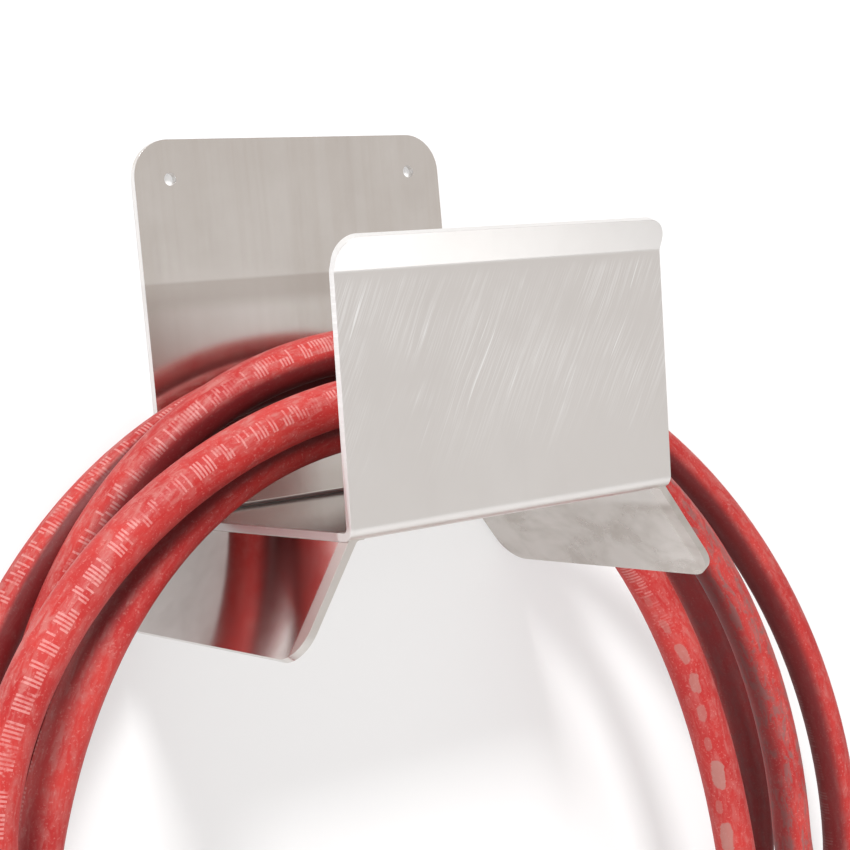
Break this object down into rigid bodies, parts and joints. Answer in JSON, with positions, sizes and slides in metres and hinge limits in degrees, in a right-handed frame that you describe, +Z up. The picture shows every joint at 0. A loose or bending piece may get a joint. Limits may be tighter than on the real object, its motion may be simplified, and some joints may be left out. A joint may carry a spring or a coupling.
{
  "type": "coiled air hose",
  "caption": "Red rubber air hose coiled over a bent stainless wall hanger, with a sleeve-locked quick coupler on one end and a swivel plug on the other.",
  "frame": {"origin": "midway between the hanger's two screw holes, on the wall plane", "axes": "+X to the right along the wall, +Y into the wall, +Z up"},
  "size_m": [0.4694, 0.1474, 0.64],
  "materials": {
    "stainless_sheet": "bent stainless sheet with a satin-to-mirror mill finish and fine scratches",
    "red_rubber": null,
    "black_rubber": "matt black rubber",
    "brass": "turned brass",
    "crimped_brass": "pressed brass, crimped",
    "plated_steel": "nickel-plated steel",
    "spring_steel": "hard-drawn spring wire",
    "ball_steel": "polished bearing steel"
  },
  "bodies": {
    "hose_on_hanger": {"hanger": "stainless_sheet", "hose": "red_rubber", "hose_end_coupler": "red_rubber", "hose_end_plug": "red_rubber", "bend_guard_coupler": "black_rubber", "bend_guard_plug": "black_rubber", "ferrule_coupler": "crimped_brass", "ferrule_plug": "crimped_brass", "barbed_stem_coupler": "brass", "barbed_stem_swivel": "brass", "coupler_body": "brass", "sleeve_spring": "spring_steel", "sleeve_ring": "spring_steel", "socket_seal": "black_rubber", "valve_spring": "spring_steel", "swivel_ring": "spring_steel"},
    "locking_sleeve": {"coupler_sleeve": "plated_steel"},
    "valve": {"valve_poppet": "brass", "valve_seal": "black_rubber"},
    "swivel_plug": {"swivel_body": "brass", "swivel_seal": "black_rubber", "plug_nipple": "plated_steel"},
    "ball_1": {"locking_ball_1": "ball_steel"},
    "ball_2": {"locking_ball_2": "ball_steel"},
    "ball_3": {"locking_ball_3": "ball_steel"},
    "ball_4": {"locking_ball_4": "ball_steel"}
  },
  "joints": [
    {"name": "sleeve_slide", "type": "slide", "parent": "hose_on_hanger", "child": "locking_sleeve", "axis": [0, 0, 1], "range_m": [0, 0.004], "stiffness_N_per_m": 600, "springref_m": -0.004, "deforming": ["sleeve_spring"]},
    {"name": "valve_push", "type": "slide", "parent": "hose_on_hanger", "child": "valve", "axis": [0, 0, 1], "range_m": [0, 0.0035], "stiffness_N_per_m": 400, "springref_m": -0.004, "deforming": ["valve_spring"]},
    {"name": "plug_swivel", "type": "hinge", "parent": "hose_on_hanger", "child": "swivel_plug", "pos_m": [0.214, -0.086, -0.571], "axis": [0, 0, 1], "continuous": true},
    {"name": "ball_1_slide", "type": "slide", "parent": "hose_on_hanger", "child": "ball_1", "axis": [0.7071, -0.7071, 0], "range_m": [0, 0.0009]},
    {"name": "ball_2_slide", "type": "slide", "parent": "hose_on_hanger", "child": "ball_2", "axis": [-0.7071, -0.7071, 0], "range_m": [0, 0.0009]},
    {"name": "ball_3_slide", "type": "slide", "parent": "hose_on_hanger", "child": "ball_3", "axis": [-0.7071, 0.7071, 0], "range_m": [0, 0.0009]},
    {"name": "ball_4_slide", "type": "slide", "parent": "hose_on_hanger", "child": "ball_4", "axis": [0.7071, 0.7071, 0], "range_m": [0, 0.0009]}
  ],
  "couplings": [
    {"joint": "ball_1_slide", "follows": "sleeve_slide", "ratio": 0.225},
    {"joint": "ball_2_slide", "follows": "sleeve_slide", "ratio": 0.225},
    {"joint": "ball_3_slide", "follows": "sleeve_slide", "ratio": 0.225},
    {"joint": "ball_4_slide", "follows": "sleeve_slide", "ratio": 0.225}
  ]
}
